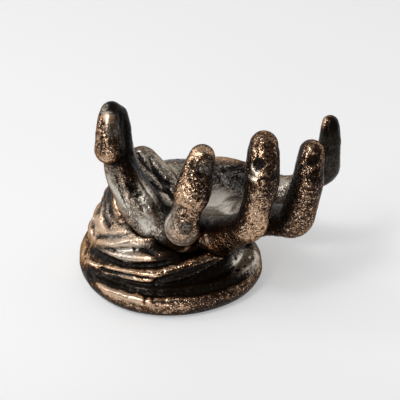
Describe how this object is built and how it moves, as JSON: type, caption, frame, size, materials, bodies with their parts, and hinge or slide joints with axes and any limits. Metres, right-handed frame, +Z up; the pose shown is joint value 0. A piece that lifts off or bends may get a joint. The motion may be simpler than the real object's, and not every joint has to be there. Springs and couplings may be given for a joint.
{
  "type": "cast iron hand sculpture",
  "caption": "Open cupped right hand in dark bronzed cast iron, rising palm up from a ring of gathered drapery, a desk ornament that cradles small things in its palm.",
  "frame": {"origin": "middle of the felt face that the sculpture rests on", "axes": "+Z up from the resting face, -Y towards the front where the index and middle fingers stand, +X towards the little finger"},
  "size_m": [0.1404, 0.1064, 0.104],
  "materials": {
    "hand_iron": "near-black sand-cast iron with copper-bronze rubbed over the raised areas, semi-gloss",
    "drapery_iron": "near-black sand-cast iron with copper-bronze rubbed along the folds, semi-gloss",
    "felt": "black pressed wool felt",
    "screw_steel": "zinc-plated",
    "spring_steel": "oiled spring steel",
    "washer_steel": "zinc-plated"
  },
  "bodies": {
    "root": {"hand_casting": "hand_iron", "drapery_base": "drapery_iron", "felt_pad": "felt", "fixing_screw": "screw_steel", "spring_washer": "spring_steel", "flat_washer": "washer_steel"}
  },
  "joints": []
}
